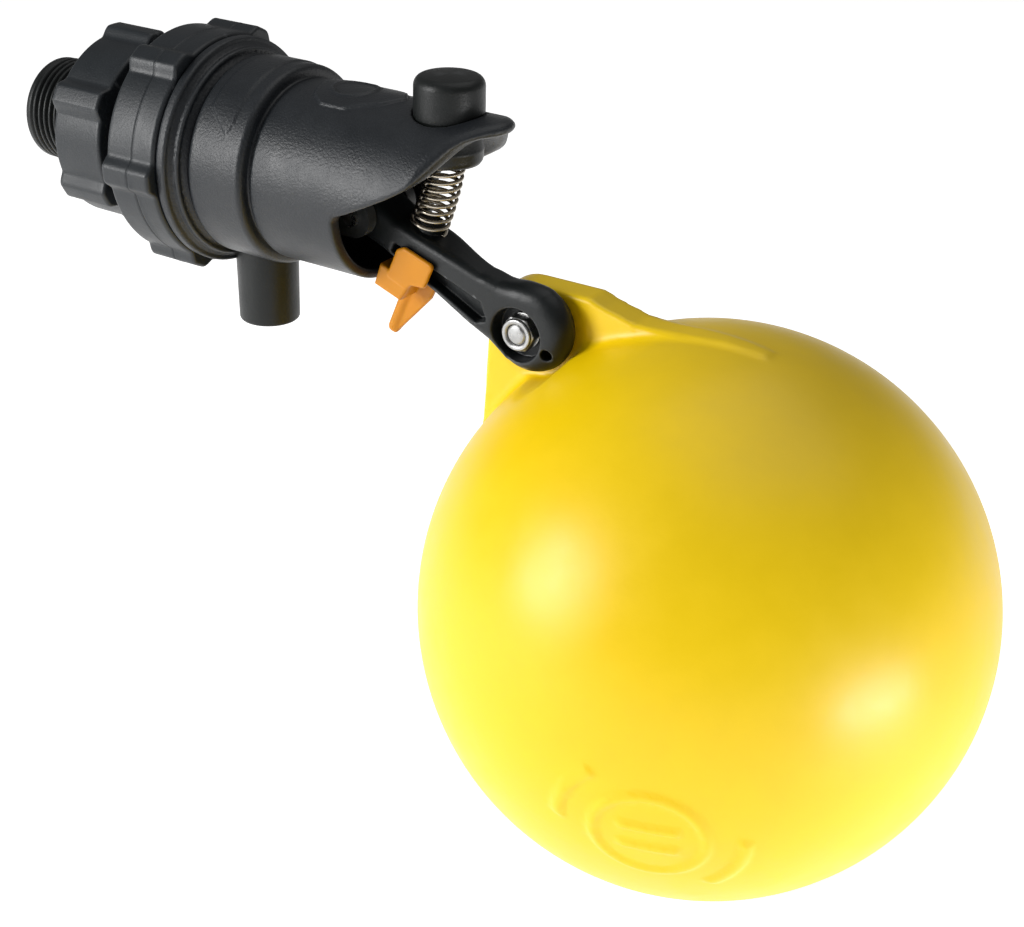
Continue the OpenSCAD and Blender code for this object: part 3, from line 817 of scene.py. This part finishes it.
def lock_nut():
    """Nut with a rounded locking collar and a chamfered hexagon."""
    flats = hex_radius(8.0, 0.12)
    turns = np.linspace(0, math.pi / 2, 6)

    def chamfered(angle):
        return np.minimum(flats(angle), 4.1)

    rings = [(-2.2, 2.9), (-2.2, chamfered), (-2.45, flats), (-4.6, flats), (-5.0, chamfered), (-5.0, 3.92)]
    rings += [(-5.2 - 0.5 * math.sin(t), 3.45 + 0.45 * math.cos(t)) for t in turns]
    rings += [(-5.66, 2.8), (-5.3, 2.56), (-2.2, 2.56)]
    obj = revolved("lock_nut", rings, 96, (BOLT_X, 0, BOLT_Z), "Y")
    return finish_piece(fix_normals(obj), "arm", "steel", "float_nut")


def machine_bolt():
    """Bolt with a fine rolled thread at its nut end and a socket head."""
    rings = [(-5.6, 0.01), (-5.6, 1.9), (-5.5, 2.1), (-5.3, 2.35)]
    for k in range(9):
        y = -5.2 + 0.8 * k
        rings += [(y, BOLT_R), (y + 0.2, BOLT_R), (y + 0.4, 2.2), (y + 0.6, 2.2)]
    rings += [(2.2, BOLT_R), (11.85, BOLT_R)]
    socket = hex_radius(4.0, 0.0)
    rings += [
        (11.85, 4.3), (12.0, 4.5), (12.2, 4.58), (14.6, 4.58), (15.0, 4.4), (15.2, 4.1), (15.25, 3.7),
        (15.25, 2.6), (15.2, socket), (13.3, socket), (13.3, 0.01),
    ]
    obj = revolved("machine_bolt", rings, 96, (BOLT_X, 0, BOLT_Z), "Y", closed=False)
    return finish_piece(fix_normals(obj), "arm", "steel", "float_bolt")


def plain_washer(name, y0, y1, radius):
    """Flat washer on the bolt between two places along Y."""
    path = rounded_path([(y0, 2.6), (y0, radius), (y1, radius), (y1, 2.6)], 0.22)
    obj = revolved(name, path, 72, (BOLT_X, 0, BOLT_Z), "Y")
    return finish_piece(fix_normals(obj), "arm", "steel", "bolt_washers")


def bolt_washer_pair():
    plain_washer("washer_tab_side", TAB_Y1 + 0.01, TAB_Y1 + 0.99, 4.98)
    plain_washer("washer_nut_side", -2.19, -1.41, 4.45)


# ---- studio, in metres ----

FLOOR_Z = -0.172  # clear of the ball when the float tilts
FLOOR_HALF = 60.0
LIGHT_TARGET = Vector((0.13, 0, -0.05))
CAMERA_AT = (0.35083, -0.32699, 0.13796)
CAMERA_AZIMUTH, CAMERA_DOWN, CAMERA_ROLL = (math.radians(t) for t in (32.4, 27.4, 1.49))


def floor():
    """A wide white floor that glows a little, so that it renders as plain white."""
    mesh = bpy.data.meshes.new("floor")
    corners = [(sx * FLOOR_HALF, sy * FLOOR_HALF, FLOOR_Z) for sx, sy in ((-1, -1), (1, -1), (1, 1), (-1, 1))]
    mesh.from_pydata(corners, [], [(0, 1, 2, 3)])
    obj = bpy.data.objects.new("floor", mesh)
    bpy.context.scene.collection.objects.link(obj)
    m = material("floor_white", (0.9, 0.9, 0.9), 0.9, Emission_Color=(1, 1, 1, 1), Emission_Strength=0.72)
    mesh.materials.append(m)


def area_light(name, azimuth, elevation, distance, size, power):
    """A soft white light that faces the object from a direction; azimuth 0 is +X and 90 is +Y."""
    a, e = math.radians(azimuth), math.radians(elevation)
    out = Vector((math.cos(e) * math.cos(a), math.cos(e) * math.sin(a), math.sin(e)))
    light = bpy.data.lights.new(name, "AREA")
    light.shape = "RECTANGLE"
    light.size, light.size_y = size
    light.energy = power
    obj = bpy.data.objects.new(name, light)
    obj.location = LIGHT_TARGET + out * distance
    obj.rotation_euler = out.to_track_quat("Z", "Y").to_euler()
    bpy.context.scene.collection.objects.link(obj)


def world():
    """Dim, even white light from all round."""
    w = bpy.data.worlds.new("studio")
    w.use_nodes = True
    background = w.node_tree.nodes["Background"]
    background.inputs["Color"].default_value = (1, 1, 1, 1)
    background.inputs["Strength"].default_value = 0.2
    bpy.context.scene.world = w


def camera():
    """The photo's own camera, as solved from the object's edges."""
    cam = bpy.data.cameras.new("camera")
    cam.lens = 63.28
    cam.sensor_width = 36.0
    cam.clip_start = 0.01
    obj = bpy.data.objects.new("camera", cam)
    a, e, roll = CAMERA_AZIMUTH, CAMERA_DOWN, CAMERA_ROLL
    right = Vector((math.cos(a), math.sin(a), 0))
    forward = Vector((-math.sin(a) * math.cos(e), math.cos(a) * math.cos(e), -math.sin(e)))
    up = right.cross(forward)
    c, s = math.cos(roll), math.sin(roll)
    right, up = c * right + s * up, c * up - s * right
    turn = Matrix((right, up, -forward)).transposed()
    obj.matrix_world = Matrix.Translation(CAMERA_AT) @ turn.to_4x4()
    bpy.context.scene.collection.objects.link(obj)
    bpy.context.scene.camera = obj


# ---- the scene ----

# CAD nodes that show as they are, with the material of each
CAD_SLOTS = {
    "pilot_plate": "smooth_black", "pilot_jet": "brass", "pivot_pin": "steel", "pilot_seal": "red_rubber",
    "inlet_strainer": "smooth_black", "stem_oring": "black_rubber", "seat_tube": "pale_plastic",
    "spacer_sleeve": "smooth_black", "diaphragm": "black_rubber", "diaphragm_insert": "pale_plastic",
    "metering_pin": "steel",
}

for node_name, slot_name in CAD_SLOTS.items():
    node = frame["nodes"][node_name]
    node.data.materials.clear()
    node.data.materials.append(MATERIALS[slot_name])

inlet_thread()
nuts()
washer_ring()
valve_body_shell()
outlet()
button_cap()
button_coil()
arm_lever()
clip()
float_ball()
lock_nut()
machine_bolt()
bolt_washer_pair()

floor()
area_light("soft_front_left", -125, 19, 0.8, (0.32, 0.38), 6.3)
area_light("soft_top", 60, 75, 1.0, (1.0, 1.0), 3)
area_light("soft_right", -5, -12, 0.34, (0.12, 0.05), 0.35)
world()
camera()
bpy.context.scene.view_settings.view_transform = "Standard"
